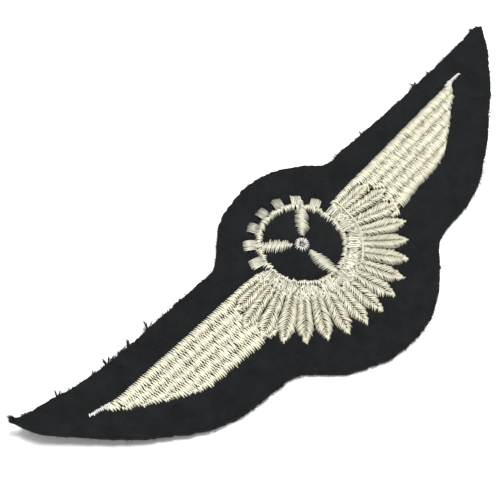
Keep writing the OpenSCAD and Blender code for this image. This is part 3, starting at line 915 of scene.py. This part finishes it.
def fringe(name, n, seed):
    r = rng(seed)
    i = r.integers(0, len(edge), n)
    P, N = edge[i, :2], edge[i, 2:]
    f = r.uniform(0, 1, n) ** 0.8
    z = 0.35 + (ZF - 0.35) * f
    a = r.normal(0, 0.7, n)
    d2 = np.stack([N[:, 0] * np.cos(a) - N[:, 1] * np.sin(a), N[:, 0] * np.sin(a) + N[:, 1] * np.cos(a)], 1)
    d = np.concatenate([d2, r.normal(0.06, 0.2, (n, 1))], 1)
    clump = 1 + 1.3 * np.clip(vnoise(P[:, 0] * 1.1, P[:, 1] * 1.1, 77), -0.6, 1)
    soup = Soup()
    fibres(soup, np.concatenate([P - N * 0.08, z[:, None]], 1), d, (r.gamma(2.0, 0.19, n) + 0.16) * clump, seed + 1,
           curl=0.8, climb=0.3, radius=0.032)
    return soup.build(name, M_NAP)


def tufts(name, spots, seed):
    """Frayed tufts: (x, side, length, width, lean) along the upper edge, or with the side -1 along the lower."""
    r = rng(seed)
    soup = Soup()
    for (x, side, length, width, lean, n) in spots:
        C = TOP if side > 0 else BOT
        y = float(np.interp(x, C[:, 0], C[:, 1]))
        px = x + r.normal(0, width, n)
        py = np.interp(px, C[:, 0], C[:, 1]) - side * 0.1
        z = r.uniform(0.7, ZF + 0.05, n)
        d = np.stack([np.full(n, lean) + r.normal(0, 0.22, n), np.full(n, float(side)) + r.normal(0, 0.15, n), r.normal(0.05, 0.12, n)], 1)
        d /= np.linalg.norm(d, axis=1, keepdims=True)
        fibres(soup, np.stack([px, py, z], 1), d, 1.15 * length * r.uniform(0.45, 1.15, n), seed + int(abs(x) * 10), M=7, curl=0.45,
               climb=0.3, radius=0.05)
    return soup.build(name, M_NAP)


nap_l = nap("felt_nap_left", -63, 0, 4200, 201)
nap_r = nap("felt_nap_right", 0, 65, 4200, 202)
fringe_ = fringe("felt_edge_fibres", 4200, 203)
TUFTS = [(-46.6, 1, 0.7, 0.15, 0.9, 24), (-42.2, 1, 0.7, 0.35, 1.0, 36), (-40.2, 1, 0.8, 0.4, 0.9, 40),
         (-38.3, 1, 0.8, 0.15, 0.8, 16), (-33.6, 1, 0.8, 0.16, 0.8, 22), (-30.5, 1, 0.4, 0.3, 0.6, 24),
         (-26.4, 1, 0.7, 0.25, 0.9, 36), (-25.2, 1, 0.8, 0.2, 0.8, 24), (-19.0, 1, 0.4, 0.3, 0.6, 24),
         (-60.4, 1, 0.6, 0.3, 0.5, 40), (65.2, 1, 0.6, 0.25, 0.3, 50), (63.9, 1, 0.8, 0.14, -0.5, 34),
         (43.8, 1, 0.7, 0.35, 0.4, 40), (49.0, 1, 0.6, 0.3, 0.2, 40), (38.5, 1, 0.5, 0.25, 0.6, 30),
         (28.0, 1, 0.5, 0.2, 0.7, 26), (21.8, 1, 0.5, 0.2, 0.6, 26), (-24.6, -1, 0.6, 0.25, 0.2, 34),
         (15.2, -1, 0.5, 0.25, 0.2, 30), (-3.0, -1, 0.4, 0.5, 0.2, 40), (6.5, -1, 0.4, 0.5, 0.2, 40)]
# long strands pulled out of the cut edge: x, the strand's run in x and y, how far it bends, and how many fibres it has
PULLED = [(-33.4, 0.9, 1.15, 0.25, 9), (-33.3, 1.25, 0.7, -0.2, 5), (-38.35, 0.9, 1.0, 0.12, 10), (-40.7, 1.3, 0.5, -0.25, 8),
          (-41.3, 1.1, 0.4, 0.2, 6), (-43.0, 1.4, 0.6, -0.2, 8), (-43.6, 0.3, 1.1, 0.2, 8), (-43.5, 0.9, 0.75, -0.15, 7),
          (-46.8, 0.5, 0.5, 0.1, 6), (-26.8, 1.5, 0.55, -0.6, 6), (-25.9, 1.1, 0.5, -0.5, 5), (-54.2, 0.5, 0.85, 0.1, 6),
          (-54.1, 0.95, 0.45, -0.1, 6), (44.5, -0.45, 1.0, 0.2, 6), (44.6, 0.45, 0.8, 0.1, 5), (48.9, -0.2, 0.8, 0.15, 6),
          (27.4, 0.15, 0.7, 0.1, 5), (-62.1, -0.1, 1.1, 0.3, 12), (-62.2, -0.7, 0.6, -0.4, 9), (64.2, -0.5, 0.5, 0.1, 8)]


def pulled(name, seed):
    r = rng(seed)
    soup = Soup()
    t = np.linspace(0, 1, 8)[None, :, None]
    for x, dx, dy, bend, n in PULLED:
        n = int(1.5 * n)
        y = float(np.interp(x, TOP[:, 0], TOP[:, 1])) - 0.15
        base = np.stack([x + r.normal(0, 0.09, n), y + r.normal(0, 0.05, n), r.uniform(1.1, ZF, n)], 1)[:, None, :]
        run = np.array([1.4 * dx, 1.4 * dy, 0.1]) * r.uniform(0.6, 1.1, (n, 1)) + r.normal(0, 0.11, (n, 3)) * (1, 1, 0.5)
        side = np.array([-dy, dx, 0]) * (bend + r.normal(0, 0.12, (n, 1)))
        wave = r.normal(0, 0.05, (n, 1, 3)) * np.sin(PI * 2 * t)
        P = base + run[:, None, :] * t + side[:, None, :] * t ** 2 + wave
        rad = 0.058 * r.uniform(0.8, 1.2, (n, 1)) * (1 - 0.5 * t[:, :, 0] ** 3)
        soup.tubes(P, rad, rad, tone=np.clip(r.normal(0.5, 0.2, n), 0, 1), K=4, side="up")
    return soup.build(name, M_NAP)


tuft_ = tufts("felt_tufts", TUFTS, 205)
pulled_ = pulled("felt_pulled_fibres", 206)

# ------------------------------------------------------------------ embroidery
for s in (-1, 1):
    wing_underlay(s)
    for j in range(1, 6):
        wing_row(s, j)
    wing_spike(s)
feather(1, 0)
for k in range(1, 9):
    feather(-1, k)
    feather(1, k)
ring_stitches()
teeth(-3, 3, "cog_teeth_upper")
teeth(4, 12, "cog_teeth_lower")
cog_underlay()
blade(180 - BLADE_ANGLE, "propeller_blade_left", 110)
blade(BLADE_ANGLE, "propeller_blade_right", 120)
blade(-90, "propeller_blade_down", 130)
hub()
tie_thread()
bobbin("bobbin_left_wing", "left_wing", 2000)
bobbin("bobbin_right_wing", "right_wing", 2100)
bobbin("bobbin_cog", "cog", 2200)
bobbin("bobbin_propeller", "propeller", 2300)
bobbin("bobbin_fan", "fan", 2400)

# ------------------------------------------------------------------ floor, light and camera
bpy.ops.mesh.primitive_plane_add(size=4, location=(0, 0, 0))
floor = bpy.context.object
floor.name = "floor"
fm, fnt, fb = principled("floor_white")
fb.inputs["Base Color"].default_value = (0.93, 0.93, 0.92, 1)
fb.inputs["Emission Color"].default_value = (1, 1, 1, 1)
fb.inputs["Emission Strength"].default_value = 0.02
fb.inputs["Roughness"].default_value = 0.8
fb.inputs["Specular IOR Level"].default_value = 0.1
floor.data.materials.append(fm)

world = bpy.data.worlds.new("studio")
bpy.context.scene.world = world
world.use_nodes = True
bg = world.node_tree.nodes["Background"]
bg.inputs["Color"].default_value = (1.0, 1.0, 1.0, 1)
bg.inputs["Strength"].default_value = 0.55


def area_light(name, at, to, size, power, color=(1, 1, 1)):
    l = bpy.data.lights.new(name, "AREA")
    l.shape = "SQUARE"
    l.size = size
    l.energy = power
    l.color = color
    o = bpy.data.objects.new(name, l)
    bpy.context.scene.collection.objects.link(o)
    o.location = at
    o.rotation_euler = (Vector(to) - Vector(at)).to_track_quat("-Z", "Y").to_euler()
    return o


area_light("key", (0.06, 0.10, 0.92), (0, 0, 0), 0.38, 13.0)
area_light("fill", (0.5, -0.3, 0.6), (0, 0, 0), 0.4, 2.0)

R = Matrix(((0.6508, -0.7475, 0.1333), (-0.6118, -0.6202, -0.4909), (0.4496, 0.238, -0.8609)))
cam_data = bpy.data.cameras.new("camera")
cam = bpy.data.objects.new("camera", cam_data)
bpy.context.scene.collection.objects.link(cam)
flip = Matrix(((1, 0, 0), (0, -1, 0), (0, 0, -1)))
M4 = (R.transposed() @ flip).to_4x4()
M4.translation = Vector((-0.1472, -0.0676, 0.2666 + 0.0018))
cam.matrix_world = M4
cam_data.sensor_width = 36
cam_data.lens = 1671.5 * 36 / 500
cam_data.clip_start = 0.01
cam_data.clip_end = 20
bpy.context.scene.camera = cam
bpy.context.scene.view_settings.view_transform = "Standard"

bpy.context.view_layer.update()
